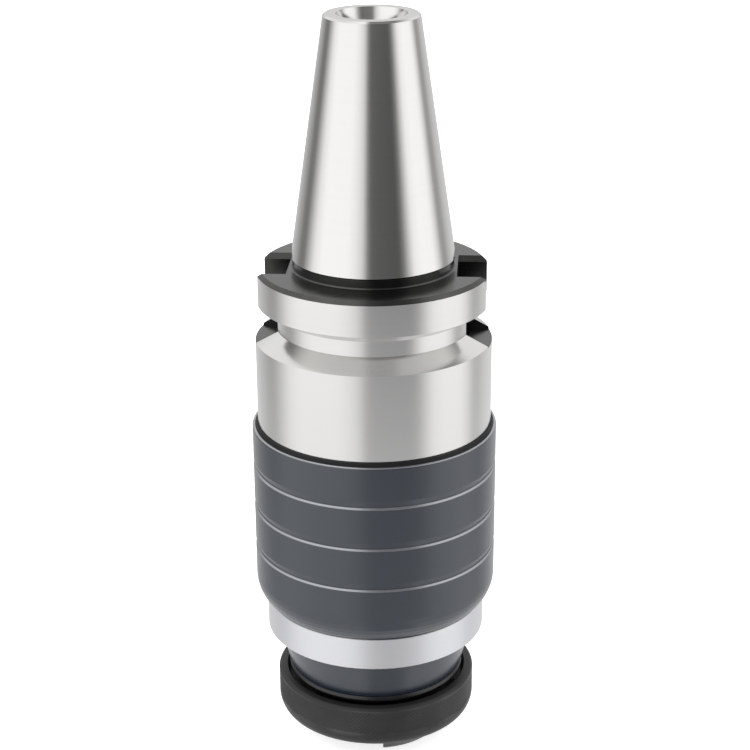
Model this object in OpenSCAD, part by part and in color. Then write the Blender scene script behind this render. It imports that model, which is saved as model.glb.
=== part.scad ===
// Quick-change drill and tapping chuck on a 7:24 machine taper.
// The origin is the centre of the taper's gauge plane. +Z runs along the spindle
// axis towards the taper's small end, so the chuck's nose points down.
// Heights below the gauge plane are negative.

/* [Taper and flange] */
// Taper diameter at the gauge plane
gauge_d = 44.45; // [42:0.05:54]
// Length from the gauge plane to the small end
taper_len = 65.4; // [62:0.1:79]
// Length of the relieved neck between the ground taper and the gauge plane
neck_above = 1.0; // [0.6:0.1:2]
// Depth of the neck relief
neck_relief = 0.35; // [0.2:0.05:0.6]
// Distance from the gauge plane down to the flange face
face_drop = 2.0; // [1.5:0.1:4]
// Flange diameter
flange_d = 63; // [60:0.5:80]
// Distance from the gauge plane down to the middle of the gripper groove
groove_drop = 16.6; // [14:0.1:22]
// Width of the gripper groove at its mouth
groove_w = 10; // [8:0.1:12]
// Depth of the gripper groove
groove_depth = 5; // [4:0.1:6]
// Width of the two drive-key slots
key_slot_w = 16.1; // [12:0.1:20]
// Distance from the neck out to the floor of each drive-key slot
key_slot_land = 0.9; // [0.6:0.1:3]
// Chamfer along the top edges of the drive-key slots
key_slot_chamfer = 1.4; // [0.5:0.1:2]
// Pull-stud pilot bore diameter
pilot_d = 17; // [14:0.1:18]
// Pull-stud pilot bore depth
pilot_len = 8; // [5:0.5:12]
// Length of the pilot bore's tapered mouth
pilot_lead_len = 3.6; // [0.5:0.1:4]
// Pull-stud thread, minor diameter
stud_thread_d = 14; // [10:0.1:16]
// Pull-stud thread length
stud_thread_len = 24; // [16:1:26]
// Passage that joins the stud thread to the spring chamber
passage_d = 8; // [5:0.5:10]

/* [Guide body and sleeve] */
// How much wider the ground guide body is than the flange
body_over = 1.4; // [0:0.1:6]
// Length of guide body in view between the gripper groove and the sleeve
body_show = 25; // [20:0.5:40]
// Overall length of the grip sleeve
sleeve_len = 52.3; // [48:0.1:70]
// Wall of the grip sleeve
sleeve_wall = 1.35; // [1.2:0.05:3]
// Number of grip grooves round the sleeve
sleeve_grooves = 3; // [1:1:3]
// Height of the sleeve's bottom taper, which is also its inner lip
sleeve_lip_h = 7; // [5:0.1:9]
// Height of the clamp ring
clamp_h = 9.4; // [7:0.1:14]
// How far the clamp ring stands out from the head cone
clamp_stand = 3.2; // [2:0.1:5]
// Height of the head cone, without its spigot
cone_h = 11.8; // [9:0.1:16]
// Wall of the head cone at its small end, outside the spring
cone_wall = 3.0; // [2:0.1:5]

/* [Length compensation] */
// Travel when the tool is pushed into the chuck
travel_in = 10; // [6:0.5:12]
// Travel when the tool is pulled out of the chuck
travel_out = 12; // [6:0.5:15]
// Diameter of the spindle's splined shaft
shaft_d = 32; // [28:0.5:39]
// Diameter of the drive balls
drive_ball_d = 6; // [4:0.1:7.2]
// Number of drive-ball columns
ball_columns = 6; // [3:1:8]
// Number of drive balls in a column
ball_rows = 3; // [2:1:3]
// Wall of the raceway bush
bush_wall = 3.5; // [3:0.1:5]

/* [Adapter seat and release ring] */
// Adapter bore diameter
adapter_bore_d = 31; // [26:0.5:38]
// Adapter bore depth
adapter_depth = 35; // [30:0.5:45]
// Wall of the spindle nose
nose_wall = 3.75; // [3:0.05:5]
// Length of nose in view below the release ring
nose_show = 5.9; // [5.5:0.1:10]
// Width of the drive slots in the nose
lug_slot_w = 17; // [8:0.5:20]
// Depth of the drive slots in the nose
lug_slot_depth = 4.5; // [3:0.1:4.6]
// Direction of the nose's drive slots, seen from above
lug_slot_angle = 73.5; // [0:0.5:180]
// Reach of the three locking balls into the adapter bore
lock_reach = 0.85; // [0.6:0.05:0.9]
// Travel of the release ring
release_travel = 3.5; // [2.5:0.1:4.2]
// Wall of the release ring at its mouth
ring_wall = 2.8; // [2.2:0.1:5]
// Height of the release ring
ring_h = 12.3; // [12:0.1:16]

/* [Hidden] */
$fn = 96;

// Clearances
fit_gap = 0.02;      // radial, between pieces that stay together
run_gap = 0.1;       // radial, between pieces that slide on each other
guide_gap = 0.2;     // radial, between the guide body and the sleeve
ball_gap = 0.05;     // round a ball in its groove, hole or cage
stop_gap = 1.0;      // left at the end of a travel
seat_gap = 0.05;     // axial, between stacked pieces

// Taper and flange
taper_rate = 7 / 48;                             // radius lost for each millimetre of height
top_r = gauge_d / 2 - taper_len * taper_rate;
edge = 1.0;                                      // chamfer of the flange and of the guide body
top_edge = 0.5;                                  // chamfer of the small end
pilot_lead = 0.8;                                // radial, tapered mouth of the pilot bore
neck_r = gauge_d / 2 - neck_above * taper_rate - neck_relief;
neck_fillet = 0.5;
flange_r = flange_d / 2;
body_r = flange_r + body_over / 2;
groove_r = flange_r - groove_depth;
flank_slope = tan(30);                           // gripper groove, 60 degrees included
groove_top = -groove_drop + groove_w / 2;
groove_floor_half = groove_w / 2 - groove_depth * flank_slope;
body_top = -groove_drop - groove_w / 2 - (body_r - flange_r) * flank_slope;
key_slot_end = body_top - 0.5;
key_slot_floor = neck_r + key_slot_land;

// Heights of the sleeve and of the stack below it
sleeve_top = body_top - body_show;
sleeve_bottom = sleeve_top - sleeve_len;
plate_h = 6.5;
plate_bottom = sleeve_bottom + sleeve_lip_h;
plate_top = plate_bottom + plate_h;
clamp_bottom = sleeve_bottom - clamp_h;
cone_bottom = clamp_bottom - cone_h;
ring_drop = 2.3;                                 // from the cone down to the release ring
ring_top = cone_bottom - ring_drop;
ring_bottom = ring_top - ring_h;
nose_end = ring_bottom - nose_show;

// Ball spline between the shank and the spindle
shaft_r = shaft_d / 2;
ball_r = drive_ball_d / 2;
cage_room = 2.5;                                 // radial room between shaft and bush
ball_ring_r = shaft_r + cage_room / 2;
bush_bore_r = shaft_r + cage_room;
bush_r = bush_bore_r + bush_wall;
row_pitch = drive_ball_d + 0.4;
shank_end = plate_top + travel_in + stop_gap;
circlip_h = 1.2;
bush_bottom = shank_end + circlip_h + 1.3;
low_row = bush_bottom + travel_out / 2 + ball_r + 0.5;
high_row = low_row + (ball_rows - 1) * row_pitch;
bush_top = high_row + travel_in / 2 + ball_r + 0.5;
cage_low = low_row - ball_r - 1;
cage_high = high_row + ball_r + 1;
shaft_top = high_row + ball_r + travel_out / 2 + 0.5;
groove_low = low_row - ball_r - travel_in / 2 - 1;

// Compensation springs on the centre bolt
low_wire = 3;
low_turns = 7;
up_wire = 2.6;
up_turns = 5;
spring_spare = 8;                                // preload room in the compression spring
collar_bottom = shaft_top + travel_in + circlip_h + 1.5;
collar_h = 5;
collar_top = collar_bottom + collar_h;
chamber_r = bush_bore_r + run_gap;
low_spring_len = travel_in + low_wire * low_turns + spring_spare;
well_floor = collar_bottom - low_spring_len;
well_r = shaft_r - 4.5;
low_coil_r = well_r - 0.8 - low_wire / 2;
up_spring_len = travel_out + up_wire * up_turns + stop_gap;
washer_bottom = collar_top + up_spring_len;
washer_h = 2.5;
upper_r = 12;                                    // spring chamber inside the taper
washer_r = upper_r - 0.8;
up_coil_r = washer_r - 1.3 - up_wire / 2;
bolt_r = 4;
bolt_head_r = 6.5;
bolt_head_h = 8;
bolt_thread = 16;
bolt_seat = washer_bottom + washer_h;
upper_top = bolt_seat + bolt_head_h + travel_in + stop_gap;
stud_floor = taper_len - pilot_len - stud_thread_len;

// Sleeve, clamp ring and cone, from the nose outwards
bore_r = adapter_bore_d / 2;
nose_r = bore_r + nose_wall;
ring_wire = 1.2;
ring_turns = 4;
ring_coil_r = nose_r + 0.75 + ring_wire / 2;
cone_bore_r = ring_coil_r + ring_wire / 2 + 0.5;
hub_r = cone_bore_r + 0.3;
cone_small_r = cone_bore_r + cone_wall;
cone_large_r = cone_small_r + cone_h * 0.235;
clamp_small_r = cone_large_r + 0.1;
neck_hub_r = clamp_small_r - 1.15;               // thread that carries the clamp ring
clamp_r = clamp_small_r + clamp_stand;
clamp_edge = 0.35;
sleeve_bore_r = body_r + guide_gap;
sleeve_r = sleeve_bore_r + sleeve_wall;
sleeve_end_r = clamp_r - 0.2;
sleeve_round = 0.55;
sleeve_groove_depth = 0.5;                       // a shallow slope down to a ledge that faces up
sleeve_groove_w = 2.4;
groove_pitch = 12.1;
first_groove = 11.9;                             // below the sleeve's top edge
plate_r = sleeve_bore_r - run_gap;
hub_bottom = clamp_bottom - 4.5;
sleeve_ring_section = 1.3;
dowel_r = 1.25;
dowel_ring_r = (neck_hub_r + plate_r) / 2;

// Wiper in the sleeve's mouth, and guide band on the shank
wiper_r = sleeve_bore_r + 0.6;
wiper_h = 3.2;
wiper_lip = 0.95;
band_h = 4;
band_depth = 1;
band_low = shank_end + 3;

// Bumper ring under the cone
bumper_r = 1.1;
spigot_h = 2.1;
spigot_r = cone_bore_r + 1;
bumper_ring_r = spigot_r + bumper_r;

// Locking balls and the cam that holds them
lock_balls = 3;
lock_stand = 0.4;                                // a ball's stand outside the nose, held by the cam
lock_r = (nose_wall + lock_reach + lock_stand) / 2;
lock_ring_r = bore_r - lock_reach + lock_r;
lock_out = 1.0;                                  // ball's outward travel
cam_slope = lock_out / release_travel;
cam_lock_r = lock_ring_r + lock_r + 0.15;
cam_open_r = cam_lock_r + lock_out + 0.1;
cam_r = cam_open_r + 2.1;
cam_top = ring_top - 1.8;
cam_bottom = ring_bottom + 0.5;
lock_z = cam_top - 2.9;
pocket_low = lock_z - release_travel - lock_r - 0.1;
relief_r = bore_r + 0.3;
relief_half = lock_r + 0.1;
mouth_lip = 0.25;                                // left at the inner end of a ball's hole
lock_mouth_r = sqrt(lock_r * lock_r - pow(lock_ring_r - relief_r - mouth_lip, 2)) + ball_gap;
ring_mouth_r = bumper_ring_r + bumper_r + 0.4;
ring_r = ring_mouth_r + ring_wall;
ring_seat_z = cone_bottom - 2 * bumper_r - seat_gap - release_travel - 0.25;
cam_neck_r = cone_bore_r - guide_gap;            // it rises inside the cone, and carries the spring
clip_z = cam_bottom - seat_gap - circlip_h;
clip_groove_r = nose_r - 0.95;

// Points along an arc in the (radius, height) plane
function arc(r, z, size, from, to, steps = 6) =
    [for (i = [0:steps]) let (a = from + (to - from) * i / steps) [r + size * cos(a), z + size * sin(a)]];

module turned(points) {
    rotate_extrude() polygon(points);
}

module ring(inner, outer, low, high) {
    translate([0, 0, low]) difference() {
        cylinder(r = outer, h = high - low);
        translate([0, 0, -1]) cylinder(r = inner, h = high - low + 2);
    }
}

module hole(r, low, high) {
    translate([0, 0, low]) cylinder(r = r, h = high - low);
}

module round_ring(ring_r, section_r, z) {
    rotate_extrude() translate([ring_r, z]) circle(r = section_r, $fn = 48);
}

// Height of a spring's wire after u turns, with one closed turn at each end
function coil_z(u, turns, wire, length) =
    let (closed = wire * 1.03, h = length - wire)
    u < 1 ? u * closed
    : u > turns - 1 ? h - (turns - u) * closed
    : closed + (u - 1) * (h - 2 * closed) / (turns - 2);

module coil_spring(coil_r, wire, turns, low, length, per_turn = 24, sides = 8) {
    count = turns * per_turn;
    points = [
        for (i = [0:count])
            let (t = 360 * i / per_turn, z = low + wire / 2 + coil_z(i / per_turn, turns, wire, length))
            for (k = [0:sides - 1]) let (a = 360 * k / sides, r = coil_r + wire / 2 * cos(a))
                [r * cos(t), r * sin(t), z + wire / 2 * sin(a)]
    ];
    sides_faces = [
        for (i = [0:count - 1]) for (k = [0:sides - 1])
            let (a = i * sides + k, b = i * sides + (k + 1) % sides)
                each [[a, b, b + sides], [a, b + sides, a + sides]]
    ];
    first_cap = [[for (k = [sides - 1:-1:0]) k]];
    last_cap = [[for (k = [0:sides - 1]) count * sides + k]];
    polyhedron(points = points, faces = concat(first_cap, sides_faces, last_cap));
}

module circlip(inner, outer, low, gap_angle) {
    difference() {
        ring(inner, outer, low, low + circlip_h);
        rotate([0, 0, gap_angle]) translate([0, -2, low - 1]) cube([outer + 5, 4, circlip_h + 2]);
    }
}

// Groove in a bore for the circlip that holds up what stands at z
module circlip_groove(bore, z) {
    ring(bore - 1, bore + 1.2, z - circlip_h - 2 * seat_gap, z - seat_gap);
}

module at_lock_ball(i) {
    rotate([0, 0, 30 + i * 360 / lock_balls]) children();
}

// One drive-key slot, cut outwards from its floor, with chamfered top edges
module key_slot() {
    w = key_slot_w / 2;
    top = -face_drop;
    rotate([90, 0, 90]) translate([0, 0, key_slot_floor]) linear_extrude(height = body_r)
        polygon([
            [-w, key_slot_end], [w, key_slot_end], [w, top - key_slot_chamfer],
            [w + key_slot_chamfer, top], [w + key_slot_chamfer, top + 5],
            [-w - key_slot_chamfer, top + 5], [-w - key_slot_chamfer, top], [-w, top - key_slot_chamfer]
        ]);
}

module taper_shank() {
    color("silver") difference() {
        turned(concat(
            [
                [0, taper_len], [top_r - top_edge, taper_len],
                [top_r + top_edge * taper_rate, taper_len - top_edge],
                [neck_r + neck_relief, neck_above], [neck_r, neck_above - neck_relief],
                [neck_r, -face_drop + neck_fillet]
            ],
            arc(neck_r + neck_fillet, -face_drop + neck_fillet, neck_fillet, 180, 270),
            [
                [flange_r - edge, -face_drop], [flange_r, -face_drop - edge], [flange_r, groove_top],
                [groove_r, -groove_drop + groove_floor_half], [groove_r, -groove_drop - groove_floor_half],
                [body_r, body_top], [body_r, shank_end + edge], [body_r - edge, shank_end], [0, shank_end]
            ]
        ));
        for (turn = [0, 180]) rotate([0, 0, turn]) key_slot();
        // pull-stud pilot with its tapered mouth, thread and passage
        hole(pilot_d / 2, taper_len - pilot_len, taper_len + 1);
        translate([0, 0, taper_len - pilot_lead_len])
            cylinder(r1 = pilot_d / 2, r2 = pilot_d / 2 + pilot_lead * 1.05, h = pilot_lead_len * 1.05);
        hole(stud_thread_d / 2, stud_floor, taper_len - pilot_len + 1);
        hole(passage_d / 2, upper_top - 1, stud_floor + 1);
        // spring chambers, raceway seat and circlip grooves
        hole(upper_r, collar_top - 1, upper_top);
        hole(chamber_r, bush_top - 1, collar_top);
        hole(bush_r, shank_end - 1, bush_top);
        circlip_groove(chamber_r, collar_bottom);
        circlip_groove(bush_r, bush_bottom);
        bush_dowels_at(dowel_r, 0);
        // groove for the guide band
        ring(body_r - band_depth, body_r + 1, band_low, band_low + band_h);
    }
}

// Dowels half in the shank and half in the raceway bush
module bush_dowels_at(r, trim) {
    for (turn = [90, 270]) rotate([0, 0, turn]) translate([bush_r, 0, bush_bottom - 1 + trim])
        cylinder(r = r, h = 11 - 2 * trim);
}

module ball_columns_at(r, low, high) {
    for (i = [0:ball_columns - 1]) rotate([0, 0, i * 360 / ball_columns])
        translate([ball_ring_r, 0, low]) cylinder(r = r, h = high - low);
}

module raceway_bush() {
    color("dimgray") difference() {
        ring(bush_bore_r, bush_r - fit_gap, bush_bottom, bush_top - seat_gap);
        ball_columns_at(ball_r + ball_gap, bush_bottom - 1, bush_top + 1);
        bush_dowels_at(dowel_r, 0);
    }
}

module bush_circlip() {
    color("black") circlip(bush_bore_r + 0.4, bush_r + 1.0, bush_bottom - circlip_h - 1.5 * seat_gap, 45);
}

module bush_dowels() {
    color("gray") bush_dowels_at(dowel_r - fit_gap, 1 + seat_gap);
}

module spring_collar() {
    color("dimgray") ring(bolt_r + 0.6, chamber_r - fit_gap, collar_bottom, collar_top - seat_gap);
}

module collar_circlip() {
    color("black") circlip(well_r + 1.5, chamber_r + 1.0, collar_bottom - circlip_h - 1.5 * seat_gap, 200);
}

module guide_band() {
    color("peru") difference() {
        ring(
            body_r - band_depth + fit_gap, body_r + guide_gap / 2,
            band_low + seat_gap, band_low + band_h - seat_gap
        );
        rotate([0, 0, 15]) translate([0, -0.4, band_low - 1]) cube([body_r + 5, 0.8, band_h + 2]);
    }
}

module compression_spring() {
    color("slategray")
        coil_spring(low_coil_r, low_wire, low_turns, well_floor + seat_gap, low_spring_len - 2 * seat_gap);
}

module rebound_spring() {
    color("slategray") coil_spring(up_coil_r, up_wire, up_turns, collar_top, up_spring_len - seat_gap);
}

// Its children once for each drive ball, at the distance r from the axis
module at_drive_balls(r) {
    for (i = [0:ball_columns - 1], row = [0:ball_rows - 1])
        rotate([0, 0, i * 360 / ball_columns]) translate([r, 0, low_row + row * row_pitch]) children();
}

module ball_cage() {
    color("goldenrod") difference() {
        ring(shaft_r + 0.35, bush_bore_r - 0.35, cage_low, cage_high);
        at_drive_balls(shaft_r - 1) rotate([0, 90, 0]) cylinder(r = ball_r + ball_gap, h = cage_room + 2);
    }
}

module drive_balls() {
    color("silver") at_drive_balls(ball_ring_r) sphere(r = ball_r);
}

module spindle() {
    color("lightgray") difference() {
        turned([
            [0, shaft_top], [shaft_r - 0.8, shaft_top], [shaft_r, shaft_top - 0.8], [shaft_r, plate_top],
            [plate_r, plate_top], [plate_r, plate_bottom],
            [neck_hub_r, plate_bottom], [neck_hub_r, clamp_bottom],
            [hub_r, clamp_bottom], [hub_r, hub_bottom], [nose_r, hub_bottom],
            [nose_r, nose_end + 0.5], [nose_r - 0.5, nose_end], [0, nose_end]
        ]);
        ball_columns_at(ball_r + ball_gap, groove_low, shaft_top + 1);
        hole(well_r, well_floor, shaft_top + 1);
        hole(bolt_r, well_floor - bolt_thread - 2, well_floor + 1);
        // groove for the sleeve's sealing ring, and holes for the dowels
        ring(plate_r - sleeve_ring_section, plate_r + 1, plate_bottom + 2.4, plate_bottom + 4.4);
        sleeve_dowels_at(dowel_r, 0);
        // adapter bore with its relief, mouth chamfer, drive slots and ball holes
        hole(bore_r, nose_end - 1, nose_end + adapter_depth);
        ring(bore_r - 1, relief_r, lock_z - relief_half, lock_z + relief_half);
        translate([0, 0, nose_end - 0.01]) cylinder(r1 = bore_r + 0.6, r2 = bore_r, h = 0.61);
        rotate([0, 0, lug_slot_angle]) translate([-nose_r - 1, -lug_slot_w / 2, nose_end - 1])
            cube([2 * nose_r + 2, lug_slot_w, lug_slot_depth + 1]);
        for (i = [0:lock_balls - 1]) at_lock_ball(i) translate([0, 0, lock_z]) rotate([0, 90, 0]) {
            cylinder(r = lock_mouth_r, h = nose_r + 1);
            translate([0, 0, relief_r + mouth_lip]) cylinder(r = lock_r + ball_gap, h = nose_wall + 1);
        }
        // groove for the release ring's circlip
        ring(clip_groove_r, nose_r + 1, clip_z - seat_gap, clip_z + circlip_h + seat_gap);
    }
}

module sleeve_dowels_at(r, trim) {
    for (turn = [0, 180]) rotate([0, 0, turn]) translate([dowel_ring_r, 0, plate_bottom - 4 + trim])
        cylinder(r = r, h = 6.2 - 2 * trim);
}

module centre_bolt() {
    color("black") difference() {
        union() {
            hole(bolt_r - 2 * fit_gap, well_floor - bolt_thread, bolt_seat + 1);
            hole(bolt_head_r, bolt_seat, bolt_seat + bolt_head_h);
        }
        translate([0, 0, bolt_seat + bolt_head_h - 4]) cylinder(r = 3.46, h = 5, $fn = 6);
    }
}

module spring_washer() {
    color("gray") ring(bolt_r + 0.2, washer_r, washer_bottom, bolt_seat - seat_gap);
}

module grip_sleeve() {
    grooves = [for (i = [0:sleeve_grooves - 1]) sleeve_top - first_groove - i * groove_pitch];
    color([0.33, 0.36, 0.39]) difference() {
        turned(concat(
            arc(sleeve_r - sleeve_round, sleeve_top - sleeve_round, sleeve_round, 90, 0),
            [
                for (z = grooves) each [
                    [sleeve_r, z + sleeve_groove_w - sleeve_groove_depth / 2],
                    [sleeve_r - sleeve_groove_depth, z + sleeve_groove_depth / 2],
                    [sleeve_r, z - sleeve_groove_depth / 2]
                ]
            ],
            [
                for (a = [0:8:40])
                    let (inward = (1 - cos(a)) / (1 - cos(40)), down = sin(a) / sin(40))
                        [sleeve_r - (sleeve_r - sleeve_end_r) * inward, plate_bottom - sleeve_lip_h * down]
            ],
            [
                [neck_hub_r + run_gap, sleeve_bottom], [neck_hub_r + run_gap, plate_bottom - seat_gap],
                [sleeve_bore_r, plate_bottom - seat_gap], [sleeve_bore_r, sleeve_top - wiper_h],
                [wiper_r, sleeve_top - wiper_h], [wiper_r, sleeve_top]
            ]
        ));
        sleeve_dowels_at(dowel_r, 0);
    }
}

module sleeve_dowels() {
    color("gray") sleeve_dowels_at(dowel_r - fit_gap, seat_gap);
}

// Wiper: a seat in the sleeve's mouth and a lip that stands above it, against the guide body
module wiper_seal() {
    lip_r = body_r + run_gap / 2;
    color([0.08, 0.08, 0.08]) turned([
        [wiper_r - fit_gap, sleeve_top - wiper_h + seat_gap], [wiper_r - fit_gap, sleeve_top - 0.2],
        [wiper_r - 0.35, sleeve_top + wiper_lip], [lip_r, sleeve_top + wiper_lip],
        [lip_r, sleeve_top - 0.4], [lip_r + 0.15, sleeve_top - 0.7],
        [lip_r + 0.15, sleeve_top - wiper_h + seat_gap]
    ]);
}

module sleeve_o_ring() {
    section_r = sleeve_ring_section / 2 + run_gap / 2 - fit_gap;
    color([0.1, 0.1, 0.1]) round_ring(sleeve_bore_r - fit_gap - section_r, section_r, plate_bottom + 3.4);
}

module clamp_ring() {
    color("silver") turned([
        [neck_hub_r + fit_gap, sleeve_bottom - seat_gap], [clamp_r - 0.15, sleeve_bottom - seat_gap],
        [clamp_r, sleeve_bottom - seat_gap - 0.15], [clamp_r, clamp_bottom + clamp_edge],
        [clamp_r - clamp_edge, clamp_bottom], [neck_hub_r + fit_gap, clamp_bottom]
    ]);
}

module head_cone() {
    color([0.33, 0.36, 0.39]) turned([
        [hub_r + fit_gap, clamp_bottom - seat_gap], [cone_large_r, clamp_bottom - seat_gap],
        [cone_small_r + 0.3, cone_bottom + 1], [cone_small_r, cone_bottom], [spigot_r, cone_bottom],
        [spigot_r, cone_bottom - spigot_h], [cone_bore_r, cone_bottom - spigot_h],
        [cone_bore_r, hub_bottom - seat_gap], [hub_r + fit_gap, hub_bottom - seat_gap]
    ]);
}

module bumper_o_ring() {
    color([0.06, 0.06, 0.06])
        round_ring(bumper_ring_r + fit_gap, bumper_r, cone_bottom - bumper_r - seat_gap);
}

module ring_circlip() {
    color("black") circlip(clip_groove_r + fit_gap, nose_r + 2.2, clip_z, 73);
}

// Release ring: a plain mouth over the bumper, a seat for the cam ring and a rounded lower edge
module release_ring() {
    round_top = 1.0;
    round_low = 4.3;
    inset_low = 2.15;
    lip_r = cam_r - 0.8;
    color([0.12, 0.12, 0.12]) turned(concat(
        [[ring_mouth_r + 0.4, ring_top]],
        arc(ring_r - round_top, ring_top - round_top, round_top, 90, 0),
        [
            for (a = [0:15:75])
                let (inward = (1 - cos(a)) / (1 - cos(75)), down = sin(a) / sin(75))
                    [ring_r - inset_low * inward, ring_bottom + round_low * (1 - down)]
        ],
        [
            [lip_r, ring_bottom], [lip_r, cam_bottom - seat_gap],
            [cam_r + fit_gap, cam_bottom - seat_gap], [cam_r + fit_gap, ring_seat_z],
            [ring_mouth_r, ring_seat_z], [ring_mouth_r, ring_top - 0.4]
        ]
    ));
}

// Cam ring: it holds the locking balls in, and lets them out along a straight ramp as it rises
module cam_ring() {
    guide_r = nose_r + run_gap;
    ramp_end = lock_z - (cam_open_r - cam_lock_r) / cam_slope;
    color("gray") turned([
        [guide_r, cam_top], [cam_neck_r, cam_top], [cam_neck_r, ring_seat_z], [cam_r, ring_seat_z],
        [cam_r, cam_bottom], [guide_r, cam_bottom],
        [guide_r, pocket_low], [cam_open_r, pocket_low], [cam_open_r, ramp_end],
        [cam_lock_r, lock_z], [cam_lock_r, lock_z + 1.4], [guide_r, lock_z + 1.4]
    ]);
}

module ring_spring() {
    length = hub_bottom - cam_top - 2 * seat_gap;
    color("slategray") coil_spring(ring_coil_r, ring_wire, ring_turns, cam_top + seat_gap, length);
}

module locking_ball(i) {
    color("silver") at_lock_ball(i) translate([lock_ring_r, 0, lock_z]) sphere(r = lock_r);
}

taper_shank();
raceway_bush();
bush_circlip();
bush_dowels();
spring_collar();
collar_circlip();
guide_band();
compression_spring();
rebound_spring();
ball_cage();
drive_balls();
spindle();
centre_bolt();
spring_washer();
grip_sleeve();
wiper_seal();
sleeve_o_ring();
sleeve_dowels();
clamp_ring();
head_cone();
bumper_o_ring();
ring_circlip();
release_ring();
cam_ring();
ring_spring();
locking_ball(0);  // locking_ball_1
locking_ball(1);  // locking_ball_2
locking_ball(2);  // locking_ball_3
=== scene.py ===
"""Finishes, knurled release ring, springs and studio for the quick-change drill and tapping chuck.

The chuck stands on its nose with its spindle axis along +Z. The origin is the centre of the
taper's gauge plane, so heights below that plane are negative. Sizes are in metres.
"""

import math

import bmesh
import bpy
from bpy.props import FloatProperty, FloatVectorProperty, IntProperty, PointerProperty
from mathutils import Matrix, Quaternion, Vector


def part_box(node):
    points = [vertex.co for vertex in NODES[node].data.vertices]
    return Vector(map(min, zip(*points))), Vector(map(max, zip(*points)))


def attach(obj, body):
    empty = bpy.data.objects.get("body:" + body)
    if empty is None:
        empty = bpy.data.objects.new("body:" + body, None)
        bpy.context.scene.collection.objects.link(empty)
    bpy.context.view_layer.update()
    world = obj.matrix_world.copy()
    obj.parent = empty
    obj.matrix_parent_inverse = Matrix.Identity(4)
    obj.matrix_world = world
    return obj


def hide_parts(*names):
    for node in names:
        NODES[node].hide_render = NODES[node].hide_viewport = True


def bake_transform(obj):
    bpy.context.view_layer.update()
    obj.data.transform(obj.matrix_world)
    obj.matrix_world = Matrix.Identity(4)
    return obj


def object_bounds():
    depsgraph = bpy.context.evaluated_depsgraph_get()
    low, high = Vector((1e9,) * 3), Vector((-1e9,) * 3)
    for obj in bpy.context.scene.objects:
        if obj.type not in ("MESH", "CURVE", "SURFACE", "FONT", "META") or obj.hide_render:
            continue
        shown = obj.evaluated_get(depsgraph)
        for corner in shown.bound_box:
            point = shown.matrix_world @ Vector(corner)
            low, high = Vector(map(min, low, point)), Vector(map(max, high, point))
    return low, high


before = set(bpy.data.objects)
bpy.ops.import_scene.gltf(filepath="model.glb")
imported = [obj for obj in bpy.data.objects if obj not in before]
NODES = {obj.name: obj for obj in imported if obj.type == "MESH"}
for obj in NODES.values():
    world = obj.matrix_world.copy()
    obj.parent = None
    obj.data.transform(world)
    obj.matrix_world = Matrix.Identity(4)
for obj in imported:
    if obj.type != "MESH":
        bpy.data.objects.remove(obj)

bl_info = {
    "name": "Tapping chuck",
    "version": (1, 0, 0),
    "blender": (4, 5, 0),
    "location": "View3D > Sidebar > Chuck",
    "description": "Finishes, knurled release ring, springs and studio for a quick-change tapping chuck",
    "category": "Object",
}

CAD_LOW, CAD_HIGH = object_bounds()
MM = 0.001
TAU = 2 * math.pi


# Sizes and colours


def length(name, description, millimetres):
    """A length property whose default is given in millimetres."""
    return FloatProperty(
        name=name, description=description, default=millimetres * MM, unit="LENGTH", precision=5
    )


def colour(name, description, *rgb):
    """A colour property, in linear red, green and blue."""
    return FloatVectorProperty(
        name=name, description=description, default=rgb, size=3, subtype="COLOR", min=0, max=1
    )


class ChuckSizes(bpy.types.PropertyGroup):
    """Sizes of the pieces that are made here."""

    knurl_pitch: length("Knurl pitch", "Distance between grooves round the release ring", 1.15)
    knurl_depth: length("Knurl depth", "Depth of the knurl's grooves", 0.16)
    ring_top_round: length("Ring top round", "Radius of the release ring's upper outer edge", 1.0)
    ring_low_height: length("Ring lower edge height", "Height of the ring's rounded lower edge", 4.3)
    ring_low_inset: length("Ring lower edge inset", "How far the lower edge draws in", 2.15)
    ring_mouth_wall: length("Ring mouth wall", "Wall of the release ring at its mouth", 2.8)
    ring_lip: length("Ring lip", "How far the release ring's lower lip reaches under the cam ring", 0.8)
    ring_seat_depth: length("Ring seat depth", "Depth of the cam ring's seat below the ring's top", 3.7)
    wire_sides: IntProperty(
        name="Wire sides", description="Sides of a spring's wire", default=16, min=6, max=48
    )


class ChuckColours(bpy.types.PropertyGroup):
    """Colours of the finishes."""

    steel: colour("Ground steel", "Shank's ground faces", 0.73, 0.725, 0.71)
    spindle: colour("Spindle", "Hardened spindle and its nose", 0.16, 0.16, 0.155)
    satin: colour("Satin steel", "Clamp ring", 0.74, 0.745, 0.76)
    oxide: colour("Black oxide", "Neck, flange face and key slots", 0.085, 0.085, 0.082)
    anodised: colour("Anodised grey", "Grip sleeve and head cone", 0.0085, 0.0140, 0.0225)
    bare_edge: colour("Bare edge", "Ledges and upper edge of the grip sleeve", 0.36, 0.37, 0.39)
    ring_black: colour("Ring black", "Knurled release ring", 0.012, 0.012, 0.0125)
    ring_worn: colour("Ring worn", "Crests of the release ring's knurl", 0.075, 0.075, 0.078)
    rubber: colour("Rubber", "Wiper and sealing rings", 0.005, 0.005, 0.0055)
    spring: colour("Spring wire", "Drawn spring steel", 0.32, 0.33, 0.35)
    bearing: colour("Bearing steel", "Balls, bush and dowels", 0.58, 0.58, 0.59)
    bronze: colour("Bronze", "Ball cage", 0.56, 0.36, 0.16)
    plastic: colour("Bearing plastic", "Guide band", 0.20, 0.10, 0.045)
    floor: colour("Floor", "Studio floor", 0.62, 0.62, 0.62)


# Shader maths


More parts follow.
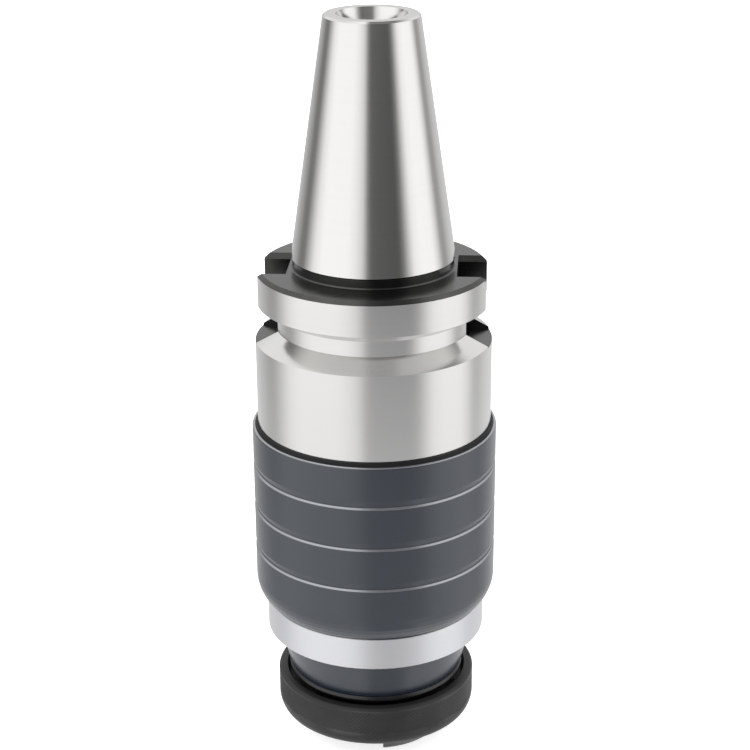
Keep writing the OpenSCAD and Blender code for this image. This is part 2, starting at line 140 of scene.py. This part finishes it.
class Signal:
    """An output of a shader node. Arithmetic on it adds Math nodes."""

    def __init__(self, graph, socket):
        self.graph = graph
        self.socket = socket

    def maths(self, operation, first, second=0.0):
        return self.graph.node("ShaderNodeMath", {"operation": operation}, {0: first, 1: second})

    def __add__(self, other):
        return self.maths("ADD", self, other)

    def __sub__(self, other):
        return self.maths("SUBTRACT", self, other)

    def __rsub__(self, other):
        return self.maths("SUBTRACT", other, self)

    def __mul__(self, other):
        return self.maths("MULTIPLY", self, other)

    def __truediv__(self, other):
        return self.maths("DIVIDE", self, other)

    def __pow__(self, other):
        return self.maths("POWER", self, other)

    def __gt__(self, other):
        return self.maths("GREATER_THAN", self, other)

    def __lt__(self, other):
        return self.maths("LESS_THAN", self, other)

    def __abs__(self):
        return self.maths("ABSOLUTE", self)

    __radd__ = __add__
    __rmul__ = __mul__


class Graph:
    """The node tree of one material or world."""

    def __init__(self, tree):
        self.tree = tree
        tree.nodes.clear()

    def node(self, kind, settings=None, inputs=None, output=0):
        """A node of that type: settings are set first, then the values or links of its sockets."""
        made = self.tree.nodes.new(kind)
        for key, value in (settings or {}).items():
            if key == "stops":
                self.set_stops(made.color_ramp, value)
            else:
                setattr(made, key, value)
        for key, value in (inputs or {}).items():
            self.feed(made.inputs[key], value)
        if not made.outputs:
            return None
        return Signal(self, made.outputs[output])

    def feed(self, socket, value):
        if isinstance(value, Signal):
            self.tree.links.new(value.socket, socket)
        elif socket.type == "RGBA" and len(value) == 3:
            socket.default_value = (*value, 1.0)
        else:
            socket.default_value = value

    def set_stops(self, ramp, stops):
        while len(ramp.elements) > 1:
            ramp.elements.remove(ramp.elements[-1])
        ramp.elements[0].position = stops[0][0]
        for place, _ in stops[1:]:
            ramp.elements.new(place)
        for element, (_, value) in zip(ramp.elements, stops):
            element.color = (value, value, value, 1.0) if isinstance(value, float) else (*value, 1.0)

    def split(self, vector):
        """The three numbers of a vector."""
        parts = self.tree.nodes.new("ShaderNodeSeparateXYZ")
        self.feed(parts.inputs[0], vector)
        return [Signal(self, out) for out in parts.outputs]

    def mix(self, factor, first, second):
        """One colour turning into another as factor goes from 0 to 1."""
        return self.node("ShaderNodeMix", {"data_type": "RGBA"}, {0: factor, 6: first, 7: second}, output=2)

    def noise(self, place, scale, detail=2.0):
        """Noise from 0 to 1, with scale in cycles per metre."""
        return self.node(
            "ShaderNodeTexNoise",
            {"noise_dimensions": "3D"},
            {"Vector": place, "Scale": scale, "Detail": detail},
        )

    def lines(self, along, scale, detail=1.0):
        """Noise that varies only along one length, with scale in cycles per metre."""
        return self.node(
            "ShaderNodeTexNoise",
            {"noise_dimensions": "1D"},
            {"W": along, "Scale": scale, "Detail": detail},
        )

    def fade(self, value, start, end):
        """0 below start and 1 above end, or the reverse where start is the larger."""
        return self.node(
            "ShaderNodeMapRange",
            {"interpolation_type": "SMOOTHSTEP"},
            {"Value": value, "From Min": start, "From Max": end},
        )


class Finish(Graph):
    """A material in the making, with the places that its patterns need."""

    def __init__(self, name):
        self.material = bpy.data.materials.new(name)
        self.material.use_nodes = True
        super().__init__(self.material.node_tree)
        self.place = self.node("ShaderNodeTexCoord", output="Object")
        self.x, self.y, self.z = self.split(self.place)
        self.radius = (self.x * self.x + self.y * self.y) ** 0.5

    def bump(self, height, distance):
        """The normal of a surface raised by height times distance."""
        return self.node("ShaderNodeBump", inputs={"Height": height, "Distance": distance, "Strength": 1.0})

    def done(self, **sockets):
        """Ends the material in one Principled shader, and returns the material."""
        inputs = {key.replace("_", " "): value for key, value in sockets.items()}
        shader = self.node("ShaderNodeBsdfPrincipled", inputs=inputs)
        self.node("ShaderNodeOutputMaterial", inputs={"Surface": shader})
        return self.material


def turned_marks(finish):
    """Fine tool marks that run round the axis, on cylinders, cones and flat faces alike."""
    flat_share = 0.83
    across = finish.z + finish.radius * flat_share
    fine = finish.lines(across, 5200.0)
    broad = finish.lines(across, 900.0, detail=3.0)
    return fine * 0.65 + broad * 0.35


def shaded(tint, share):
    """A colour made darker or lighter by that share."""
    return [channel * share for channel in tint]


def ground_steel(name, tint, roughness, marks_depth):
    """Ground or fine-turned steel: rings of tool marks and a faint smear of oil."""
    finish = Finish(name)
    marks = turned_marks(finish)
    oil = finish.noise(finish.place, 55.0, detail=4.0)
    # how much the marks and the oil change the roughness, evenly round the value asked for
    rough_marks = 0.05
    rough_oil = 0.05
    least = roughness - (rough_marks + rough_oil) / 2
    return finish, {
        "Base_Color": finish.mix(marks, shaded(tint, 0.93), tint),
        "Metallic": 1.0,
        "Roughness": marks * rough_marks + oil * rough_oil + least,
        "Normal": finish.bump(marks, marks_depth),
    }


def shank_steel(colours):
    """The shank: ground all over, with black oxide on its neck, flange face and key slots."""
    finish, sockets = ground_steel("shank_steel", colours.steel, 0.13, 0.5e-6)
    # half widths of a key slot between its walls and across its chamfers, its floor and its lower end
    slot_half = 8.06 * MM
    slot_mouth_half = 9.6 * MM
    slot_floor = 22.3 * MM
    slot_end = -22.52 * MM
    # foot of the chamfers, foot of the black edge on the rim, foot of the ground taper, and the bore
    slot_chamfer_end = -3.5 * MM
    rim_top = -3.02 * MM
    ground_from = 0.98 * MM
    bore = 12.5 * MM
    ragged = finish.noise(finish.place, 900.0, detail=2.0) * (0.10 * MM)
    height = finish.z + ragged
    side = abs(finish.y)
    out = abs(finish.x)
    face_band = (height > rim_top) * (height < ground_from) * (finish.radius > bore)
    slot_walls = (side < slot_half) * (out > slot_floor) * (finish.z > slot_end)
    slot_edges = (side < slot_mouth_half) * (out > slot_floor) * (finish.z > slot_chamfer_end)
    black = finish.node(
        "ShaderNodeMath",
        {"operation": "ADD", "use_clamp": True},
        {0: face_band + slot_walls, 1: slot_edges},
    )
    cloud = finish.noise(finish.place, 240.0, detail=5.0)
    oxide = finish.mix(cloud, shaded(colours.oxide, 0.8), shaded(colours.oxide, 1.25))
    sockets["Base_Color"] = finish.mix(black, sockets["Base_Color"], oxide)
    below_taper = finish.z < 0.0
    sockets["Roughness"] = sockets["Roughness"] + below_taper * 0.05 + black * (cloud * 0.08 + 0.02)
    return finish.done(**sockets)


def plain_steel(name, tint, roughness, marks_depth):
    """Turned steel all over."""
    finish, sockets = ground_steel(name, tint, roughness, marks_depth)
    return finish.done(**sockets)


def satin_steel(colours):
    """The clamp ring: a fine even blast over turned steel."""
    finish = Finish("satin_steel")
    marks = turned_marks(finish)
    grain = finish.noise(finish.place, 7000.0, detail=3.0)
    return finish.done(
        Base_Color=finish.mix(grain, shaded(colours.satin, 0.94), colours.satin),
        Metallic=1.0,
        Roughness=grain * 0.08 + 0.28,
        Normal=finish.bump(grain * 0.7 + marks * 0.3, 2.5e-6),
    )


def anodised(colours):
    """The grip sleeve and the cone: a dense grey coat over fine turning, thin on ledges and the rim."""
    finish = Finish("anodised_grey")
    marks = turned_marks(finish)
    grain = finish.noise(finish.place, 5200.0, detail=3.0)
    handling = finish.noise(finish.place, 70.0, detail=5.0)
    sleeve_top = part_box("grip_sleeve")[1].z
    rim_inside = 32.6 * MM
    first_ledge = 11.9 * MM
    ledge_pitch = 12.1 * MM
    ledges = 3
    rim = finish.fade(finish.z, sleeve_top - 0.42 * MM, sleeve_top - 0.12 * MM)
    bare = rim * (finish.radius > rim_inside)
    for step in range(ledges):
        ledge = sleeve_top - first_ledge - ledge_pitch * step
        bare = bare + finish.fade(abs(finish.z - ledge), 0.27 * MM, 0.15 * MM)
    tone = finish.mix(handling, shaded(colours.anodised, 0.92), shaded(colours.anodised, 1.08))
    return finish.done(
        Base_Color=finish.mix(bare, tone, colours.bare_edge),
        Metallic=bare * (handling * 0.1 + 0.88),
        IOR=1.75,
        Roughness=handling * 0.08 + grain * 0.02 + 0.19,
        Normal=finish.bump(grain * 0.2 + marks * 0.8, 0.4e-6),
    )


def matte_black(colours):
    """The release ring: matte black, a little worn along the crests of its knurl."""
    finish = Finish("matte_black")
    grain = finish.noise(finish.place, 3800.0, detail=4.0)
    dust = finish.noise(finish.place, 120.0, detail=5.0)
    crest = finish.node("ShaderNodeAttribute", {"attribute_name": "crest"}, output="Fac")
    worn = crest * finish.fade(dust, 0.35, 0.8)
    tone = finish.mix(worn * 0.5 + dust * 0.1, colours.ring_black, colours.ring_worn)
    return finish.done(
        Base_Color=tone,
        Metallic=0.0,
        IOR=1.38,
        Roughness=grain * 0.10 + 0.40 - worn * 0.08,
        Normal=finish.bump(grain, 6e-6),
    )


def rubber(colours, name, roughness, index):
    """Sealing rings and wiper: black rubber with a faint bloom."""
    finish = Finish(name)
    bloom = finish.noise(finish.place, 400.0, detail=4.0)
    return finish.done(
        Base_Color=finish.mix(bloom, colours.rubber, shaded(colours.rubber, 1.8)),
        Metallic=0.0,
        IOR=index,
        Roughness=bloom * 0.12 + roughness,
        Normal=finish.bump(bloom, 2e-6),
    )


def bearing_plastic(colours):
    """The guide band: brown filled plastic."""
    finish = Finish("bearing_plastic")
    flecks = finish.noise(finish.place, 2600.0, detail=4.0)
    tone = finish.mix(flecks, shaded(colours.plastic, 0.8), shaded(colours.plastic, 1.3))
    return finish.done(Base_Color=tone, Metallic=0.0, IOR=1.4, Roughness=flecks * 0.1 + 0.38)


# Meshes


def lathe(profile, segments, radius_at):
    """A closed ring: profile is a loop of (radius, height), and radius_at sets each point's radius."""
    mesh = bmesh.new()
    rings = []
    for step in range(segments):
        angle = TAU * step / segments
        ring = []
        for index, (radius, height) in enumerate(profile):
            r = radius_at(index, step, radius, height)
            ring.append(mesh.verts.new((r * math.cos(angle), r * math.sin(angle), height)))
        rings.append(ring)
    count = len(profile)
    for step in range(segments):
        here, after = rings[step], rings[(step + 1) % segments]
        for index in range(count):
            nxt = (index + 1) % count
            mesh.faces.new((here[index], after[index], after[nxt], here[nxt]))
    bmesh.ops.recalc_face_normals(mesh, faces=mesh.faces)
    return mesh


def swept(rings):
    """A tube through equal rings of points, capped at both ends."""
    mesh = bmesh.new()
    made = [[mesh.verts.new(point) for point in ring] for ring in rings]
    sides = len(rings[0])
    for here, after in zip(made, made[1:]):
        for k in range(sides):
            mesh.faces.new((here[k], here[(k + 1) % sides], after[(k + 1) % sides], after[k]))
    mesh.faces.new(made[0][::-1])
    mesh.faces.new(made[-1])
    bmesh.ops.recalc_face_normals(mesh, faces=mesh.faces)
    return mesh


def piece(name, mesh, material, smooth_angle=30):
    """An object made of that mesh, shaded smooth but for its sharp edges."""
    data = bpy.data.meshes.new(name)
    mesh.to_mesh(data)
    mesh.free()
    data.materials.append(material)
    data.polygons.foreach_set("use_smooth", [True] * len(data.polygons))
    data.set_sharp_from_angle(angle=math.radians(smooth_angle))
    made = bpy.data.objects.new(name, data)
    bpy.context.scene.collection.objects.link(made)
    return made


def coat(material, *names):
    """Puts one material on each of those CAD nodes."""
    for name in names:
        slots = NODES[name].data.materials
        slots.clear()
        slots.append(material)


def arc(radius, height, size, start, end, steps):
    """Points of (radius, height) along an arc, angles in degrees."""
    angles = [math.radians(start + (end - start) * i / steps) for i in range(steps + 1)]
    return [(radius + size * math.cos(a), height + size * math.sin(a)) for a in angles]


# Operators


class ChuckOperator:
    """What every operator of the chuck shares."""

    bl_options = {"REGISTER", "UNDO"}

    def execute(self, context):
        self.make(context.scene.chuck_sizes, context.scene.chuck_colours)
        return {"FINISHED"}


class CHUCK_OT_shank(ChuckOperator, bpy.types.Operator):
    """Gives the taper shank its ground and blackened faces"""

    bl_idname = "chuck.shank"
    bl_label = "Taper shank"

    def make(self, sizes, colours):
        coat(shank_steel(colours), "taper_shank")


def knurled_ring(sizes):
    """The release ring's section, and its knurl as a change of radius."""
    low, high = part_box("release_ring")
    bottom, top = low.z, high.z
    outer = high.x
    cam_low, cam_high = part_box("cam_ring")
    seat_radius = cam_high.x + 0.02 * MM
    mouth = outer - sizes.ring_mouth_wall
    lip = cam_high.x - sizes.ring_lip
    seat_top = top - sizes.ring_seat_depth
    band_top = top - sizes.ring_top_round
    band_low = bottom + sizes.ring_low_height
    columns = round(TAU * outer / sizes.knurl_pitch)
    rows = 2 * round(2 * (band_top - band_low) / sizes.knurl_pitch)
    smooth_edge = 0.5 * MM
    mouth_chamfer = 0.4 * MM
    under_cam = cam_low.z - 0.05 * MM
    steps_per_groove = 4

    band = []
    for row in range(rows + 1):
        band.append((outer, band_top + (band_low - band_top) * row / rows))
    top_edge = [(mouth, top - mouth_chamfer), (mouth + mouth_chamfer, top)]
    top_edge += arc(outer - sizes.ring_top_round, band_top, sizes.ring_top_round, 90, 0, 8)[:-1]
    # the lower edge is part of an ellipse, which would meet the ring's foot at this angle
    last_turn = math.radians(75)
    low_edge = []
    for degrees in range(8, 80, 8):
        turn = math.radians(degrees)
        inward = (1 - math.cos(turn)) / (1 - math.cos(last_turn))
        down = math.sin(turn) / math.sin(last_turn)
        low_radius = outer - sizes.ring_low_inset * inward
        low_edge.append((low_radius, bottom + sizes.ring_low_height * (1 - down)))
    inner = [(lip, bottom), (lip, under_cam), (seat_radius, under_cam)]
    inner += [(seat_radius, seat_top), (mouth, seat_top)]
    profile = top_edge + band + low_edge + inner
    first = len(top_edge)
    last = first + rows

    def knurl(index, step, radius, height):
        """A point's radius: the two families of grooves cross over the band and fade out at its edges."""
        if not first < index < last:
            return radius
        along = step / steps_per_groove
        across = (index - first) / steps_per_groove
        groove = max(ridge(along + across), ridge(along - across))
        fade = min(1.0, (band_top - height) / smooth_edge, (height - band_low) / smooth_edge)
        return radius - sizes.knurl_depth * groove * fade

    return profile, steps_per_groove * columns, knurl


def ridge(turns):
    """1 on a groove line and 0 midway between two of them."""
    part = turns % 1.0
    return 1 - 2 * min(part, 1 - part)


class CHUCK_OT_release_ring(ChuckOperator, bpy.types.Operator):
    """Builds the knurled release ring in place of the plain one"""

    bl_idname = "chuck.release_ring"
    bl_label = "Release ring"

    def make(self, sizes, colours):
        profile, segments, knurl = knurled_ring(sizes)
        mesh = lathe(profile, segments, knurl)
        finish = matte_black(colours)
        ring = piece("release_ring_knurled", mesh, finish, smooth_angle=24)
        # how near each point is to the outside, for the wear on the crests
        crest = ring.data.attributes.new("crest", "FLOAT", "POINT")
        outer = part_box("release_ring")[1].x
        worn_depth = 0.4 * sizes.knurl_depth
        values = []
        for vertex in ring.data.vertices:
            radius = math.hypot(vertex.co.x, vertex.co.y)
            values.append(max(0.0, 1 - (outer - radius) / worn_depth))
        crest.data.foreach_set("value", values)
        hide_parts("release_ring")
        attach(ring, "release_ring")


def spring_rings(low, high, wire, turns, sides, per_turn=56):
    """Rings round the wire of a compression spring with one closed turn at each end."""
    middle = high.x - wire / 2
    travel = high.z - low.z - wire
    closed = wire * 1.03
    pitch = (travel - 2 * closed) / (turns - 2)
    rings = []
    for step in range(turns * per_turn + 1):
        turn = step / per_turn
        if turn < 1:
            rise = turn * closed
        elif turn > turns - 1:
            rise = travel - (turns - turn) * closed
        else:
            rise = closed + (turn - 1) * pitch
        angle = TAU * turn
        centre = low.z + wire / 2 + rise
        ring = []
        for k in range(sides):
            round_wire = TAU * k / sides
            r = middle + wire / 2 * math.cos(round_wire)
            height = centre + wire / 2 * math.sin(round_wire)
            ring.append((r * math.cos(angle), r * math.sin(angle), height))
        rings.append(ring)
    return rings


class CHUCK_OT_springs(ChuckOperator, bpy.types.Operator):
    """Winds the three springs from round wire, each in the space of the plain spring that it replaces"""

    bl_idname = "chuck.springs"
    bl_label = "Springs"

    def make(self, sizes, colours):
        wire_finish = plain_steel("spring_wire", colours.spring, 0.30, 0.5e-6)
        # node, wire in millimetres, turns, upper body, lower body
        springs = [
            ("compression_spring", 3.0, 7, "shank", "head"),
            ("rebound_spring", 2.6, 5, "head", "shank"),
            ("ring_spring", 1.2, 4, "head", "release_ring"),
        ]
        for node, wire, turns, upper, lower in springs:
            low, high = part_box(node)
            thickness = wire * MM
            rings = spring_rings(low, high, thickness, turns, sizes.wire_sides)
            spring = piece(node + "_wound", swept(rings), wire_finish, smooth_angle=60)
            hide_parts(node)
            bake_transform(spring)


class CHUCK_OT_sleeve(ChuckOperator, bpy.types.Operator):
    """Gives the grip sleeve and the head cone their grey coat"""

    bl_idname = "chuck.sleeve"
    bl_label = "Grip sleeve and cone"

    def make(self, sizes, colours):
        coat(anodised(colours), "grip_sleeve", "head_cone")


class CHUCK_OT_clamp_ring(ChuckOperator, bpy.types.Operator):
    """Gives the clamp ring its satin face"""

    bl_idname = "chuck.clamp_ring"
    bl_label = "Clamp ring"

    def make(self, sizes, colours):
        coat(satin_steel(colours), "clamp_ring")


class CHUCK_OT_spindle(ChuckOperator, bpy.types.Operator):
    """Finishes the spindle and its washer as turned and hardened steel"""

    bl_idname = "chuck.spindle"
    bl_label = "Spindle and washer"

    def make(self, sizes, colours):
        coat(plain_steel("turned_steel", colours.spindle, 0.30, 1.6e-6), "spindle", "spring_washer")


class CHUCK_OT_bearings(ChuckOperator, bpy.types.Operator):
    """Finishes the balls, their bush and cage, and the pieces that hold them"""

    bl_idname = "chuck.bearings"
    bl_label = "Balls, bush and cage"

    def make(self, sizes, colours):
        balls = ["locking_ball_1", "locking_ball_2", "locking_ball_3", "drive_balls"]
        coat(plain_steel("polished_balls", colours.bearing, 0.07, 0.1e-6), *balls)
        coat(
            plain_steel("bearing_steel", colours.bearing, 0.20, 0.8e-6),
            "raceway_bush", "bush_dowels", "spring_collar", "sleeve_dowels",
        )
        coat(plain_steel("cage_bronze", colours.bronze, 0.28, 1.5e-6), "ball_cage")
        coat(
            plain_steel("black_spring_steel", colours.oxide, 0.34, 1.0e-6),
            "bush_circlip", "collar_circlip", "ring_circlip", "centre_bolt", "cam_ring",
        )


class CHUCK_OT_seals(ChuckOperator, bpy.types.Operator):
    """Finishes the wiper, the sealing ring, the bumper ring and the guide band"""

    bl_idname = "chuck.seals"
    bl_label = "Seals and guide band"

    def make(self, sizes, colours):
        coat(rubber(colours, "matte_rubber", 0.42, 1.3), "wiper_seal")
        coat(rubber(colours, "oiled_rubber", 0.14, 1.5), "sleeve_o_ring", "bumper_o_ring")
        coat(bearing_plastic(colours), "guide_band")


def floor_finish(colours):
    """A backlit white floor, with only a trace of shadow on it."""
    finish = Finish("studio_floor")
    tone = finish.noise(finish.place, 6.0, detail=3.0)
    shade = finish.mix(tone, shaded(colours.floor, 0.99), colours.floor)
    return finish.done(
        Base_Color=shade, Roughness=0.9, Emission_Color=(1.0, 1.0, 1.0), Emission_Strength=0.76
    )


def ring_of_light(graph, turn, places):
    """Brightness round the studio, from places in degrees."""
    stops = [((degrees + 180) / 360, value) for degrees, value in places]
    return graph.node("ShaderNodeValToRGB", {"stops": stops}, {0: turn}, output="Color")


def studio_light(world):
    """Soft boxes to the left and right, with a dark lane between them from the front up over the chuck.

    The table is pale. Only reflections and the light on the object see all this. A camera sees a
    plain white wall.
    """
    world.use_nodes = True
    graph = Graph(world.node_tree)
    x, y, z = graph.split(graph.node("ShaderNodeTexCoord", output="Generated"))
    turn = graph.node("ShaderNodeMath", {"operation": "ARCTAN2"}, {0: x, 1: 0.0 - y}) / TAU + 0.5
    # place round the studio in degrees, 0 in front of the chuck and left below 0, and brightness
    round_walls = [
        (-180, 0.50), (-150, 0.45), (-130, 0.32), (-119, 0.19), (-109, 0.18), (-98, 0.46), (-86, 0.84),
        (-72, 1.0), (-32, 0.99), (-20, 0.86), (-11, 0.66), (-4, 0.22), (1, 0.115), (12, 0.10), (40, 0.085),
        (47, 0.18), (55, 0.55), (63, 0.90), (76, 1.0), (97, 0.98), (107, 0.72), (116, 0.34), (124, 0.32),
        (136, 0.48), (150, 0.56), (180, 0.50),
    ]
    round_ceiling = [
        (-180, 0.80), (-110, 0.78), (-80, 1.0), (-28, 1.0), (-8, 0.70), (3, 0.24), (38, 0.20), (52, 0.50),
        (64, 0.95), (100, 1.0), (125, 0.75), (180, 0.80),
    ]
    walls = ring_of_light(graph, turn, round_walls)
    ceiling = ring_of_light(graph, turn, round_ceiling)
    upper = graph.mix(graph.fade(z, 0.02, 0.45), walls, ceiling)
    lane = graph.fade(x, -0.16, -0.02) * graph.fade(x, 0.58, 0.44) * graph.fade(y, 0.66, 0.50)
    overhead = graph.mix(lane * graph.fade(z, 0.62, 0.74), upper, (0.20, 0.20, 0.20))
    front_lane = graph.fade(x, -0.14, -0.02) * graph.fade(x, 0.52, 0.40) * graph.fade(y, -0.1, -0.3)
    dark_share = front_lane * graph.fade(z, -0.54, -0.62) * 0.48
    table = graph.mix(dark_share, (0.74, 0.74, 0.75), (0.10, 0.10, 0.10))
    studio = graph.mix(graph.fade(z, -0.15, -0.65), overhead, table)
    light = graph.node("ShaderNodeBackground", inputs={"Color": studio, "Strength": 1.30})
    plain = graph.node("ShaderNodeBackground", inputs={"Color": (1.0, 1.0, 1.0), "Strength": 1.0})
    seen = graph.node("ShaderNodeLightPath", output="Is Camera Ray")
    both = graph.node("ShaderNodeMixShader", inputs={0: seen, 1: light, 2: plain})
    graph.node("ShaderNodeOutputWorld", inputs={"Surface": both})


def ceiling_light(scene):
    """A very soft even light from straight above, which makes no reflections."""
    data = bpy.data.lights.new("ceiling_light", "SUN")
    data.angle = math.radians(110)
    data.energy = 3.0
    light = bpy.data.objects.new("ceiling_light", data)
    light.location = (0, 0, 1)
    light.visible_glossy = False
    scene.collection.objects.link(light)


def set_camera(scene):
    """A long lens, a little to the right of the front and looking down on the chuck."""
    azimuth = math.radians(4.0)
    elevation = math.radians(21.7)
    roll = math.radians(-0.37)
    distance = 529.4 * MM
    target = Vector((0, 0, -40 * MM))
    level = math.cos(elevation)
    back = Vector((math.sin(azimuth) * level, -math.cos(azimuth) * level, math.sin(elevation)))
    data = bpy.data.cameras.new("camera")
    data.lens = 92.1
    data.sensor_width = 36
    data.shift_x = 0.0011
    data.shift_y = 0.0279
    data.clip_start, data.clip_end = 0.01, 50
    camera = bpy.data.objects.new("camera", data)
    camera.location = target + back * distance
    camera.rotation_mode = "QUATERNION"
    camera.rotation_quaternion = (-back).to_track_quat("-Z", "Y") @ Quaternion((0, 0, 1), roll)
    scene.collection.objects.link(camera)
    scene.camera = camera


class CHUCK_OT_stage(ChuckOperator, bpy.types.Operator):
    """Lays the floor, lights the studio and sets the camera"""

    bl_idname = "chuck.stage"
    bl_label = "Studio"

    def make(self, sizes, colours):
        scene = bpy.context.scene
        reach = 12.0  # metres, past the horizon of a low view
        mesh = bmesh.new()
        bmesh.ops.create_circle(mesh, cap_ends=True, segments=96, radius=reach)
        bmesh.ops.translate(mesh, verts=mesh.verts, vec=(0, 0, CAD_LOW.z))
        data = bpy.data.meshes.new("floor")
        mesh.to_mesh(data)
        mesh.free()
        data.materials.append(floor_finish(colours))
        floor = bpy.data.objects.new("floor", data)
        scene.collection.objects.link(floor)
        floor.visible_glossy = False
        scene.world = bpy.data.worlds.new("studio")
        studio_light(scene.world)
        ceiling_light(scene)
        scene.view_settings.view_transform = "Standard"
        set_camera(scene)


class CHUCK_PT_panel(bpy.types.Panel):
    """The chuck's pieces, sizes and colours"""

    bl_idname = "CHUCK_PT_panel"
    bl_label = "Tapping chuck"
    bl_space_type = "VIEW_3D"
    bl_region_type = "UI"
    bl_category = "Chuck"

    def draw(self, context):
        for operator in OPERATORS:
            self.layout.operator(operator.bl_idname)
        for group in (context.scene.chuck_sizes, context.scene.chuck_colours):
            box = self.layout.box()
            for name in group.__annotations__:
                box.prop(group, name)


OPERATORS = [
    CHUCK_OT_stage,
    CHUCK_OT_shank,
    CHUCK_OT_sleeve,
    CHUCK_OT_clamp_ring,
    CHUCK_OT_release_ring,
    CHUCK_OT_springs,
    CHUCK_OT_spindle,
    CHUCK_OT_bearings,
    CHUCK_OT_seals,
]
CLASSES = [ChuckSizes, ChuckColours, *OPERATORS, CHUCK_PT_panel]


def register():
    for cls in CLASSES:
        bpy.utils.register_class(cls)
    bpy.types.Scene.chuck_sizes = PointerProperty(type=ChuckSizes)
    bpy.types.Scene.chuck_colours = PointerProperty(type=ChuckColours)


def unregister():
    del bpy.types.Scene.chuck_colours
    del bpy.types.Scene.chuck_sizes
    for cls in reversed(CLASSES):
        bpy.utils.unregister_class(cls)


def main():
    register()
    for operator in OPERATORS:
        group, name = operator.bl_idname.split(".")
        getattr(getattr(bpy.ops, group), name)()


if __name__ == "__main__":
    main()
